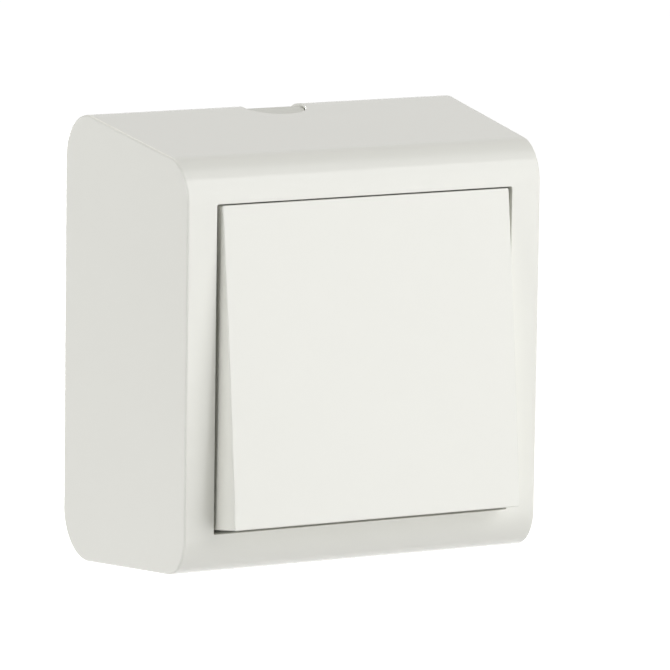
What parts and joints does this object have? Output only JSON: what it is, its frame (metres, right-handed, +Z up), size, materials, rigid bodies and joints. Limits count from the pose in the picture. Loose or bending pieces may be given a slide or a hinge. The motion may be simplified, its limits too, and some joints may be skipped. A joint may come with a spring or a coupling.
{
  "type": "surface mounted light switch",
  "caption": "White surface mounted light switch: rounded box housing with a large square tilting rocker and a snap-action change-over mechanism inside.",
  "frame": {"origin": "centre of the flat wall face, at the back of the base plate", "axes": "+Y into the wall, so the rocker faces -Y; +Z up; +X to the right when the switch is seen from the room"},
  "size_m": [0.0712, 0.0513, 0.0782],
  "materials": {
    "housing_plastic": "smooth moulded white, satin gloss",
    "rocker_plastic": "smooth moulded white, satin gloss",
    "base_plastic": "moulded white, matt",
    "plated_steel": "zinc plated sheet",
    "screw_steel": "zinc plated",
    "mechanism_plastic": "moulded light grey, matt",
    "cover_plastic": "moulded off white, matt",
    "carrier_plastic": "moulded off white, satin",
    "plunger_plastic": "moulded dark grey",
    "spring_steel": "bright drawn wire",
    "brass": "stamped strip",
    "contact_silver": "bright silver rivets"
  },
  "bodies": {
    "base": {"housing": "housing_plastic", "base_plate": "base_plastic", "mechanism_frame": "plated_steel", "frame_screws": "screw_steel", "mechanism_body": "mechanism_plastic", "mechanism_cover": "cover_plastic", "cover_screws": "screw_steel", "common_terminal": "brass", "upper_terminal": "brass", "lower_terminal": "brass", "upper_contact_tip": "contact_silver", "lower_contact_tip": "contact_silver", "common_clamp": "plated_steel", "upper_clamp": "plated_steel", "lower_clamp": "plated_steel", "terminal_screws": "screw_steel"},
    "rocker": {"rocker": "rocker_plastic", "rocker_carrier": "carrier_plastic", "plunger_spring": "spring_steel"},
    "plunger": {"plunger": "plunger_plastic"},
    "contact": {"moving_contact": "brass", "moving_contact_tips": "contact_silver"}
  },
  "joints": [
    {"name": "rocker_hinge", "type": "hinge", "parent": "base", "child": "rocker", "pos_m": [0, -0.04133, 0], "axis": [1, 0, 0], "range_deg": [0, 12.68]},
    {"name": "plunger_slide", "type": "slide", "parent": "rocker", "child": "plunger", "axis": [0, -0.9939, 0.1104], "range_m": [0, 0.001], "stiffness_N_per_m": 100, "springref_m": -0.01, "deforming": ["plunger_spring"]},
    {"name": "contact_rock", "type": "hinge", "parent": "base", "child": "contact", "pos_m": [0, -0.02186, 0], "axis": [1, 0, 0], "range_deg": [-17.01, 0]}
  ],
  "couplings": [
    {"joint": "contact_rock", "follows": "rocker_hinge", "ratio": -1.3407}
  ]
}
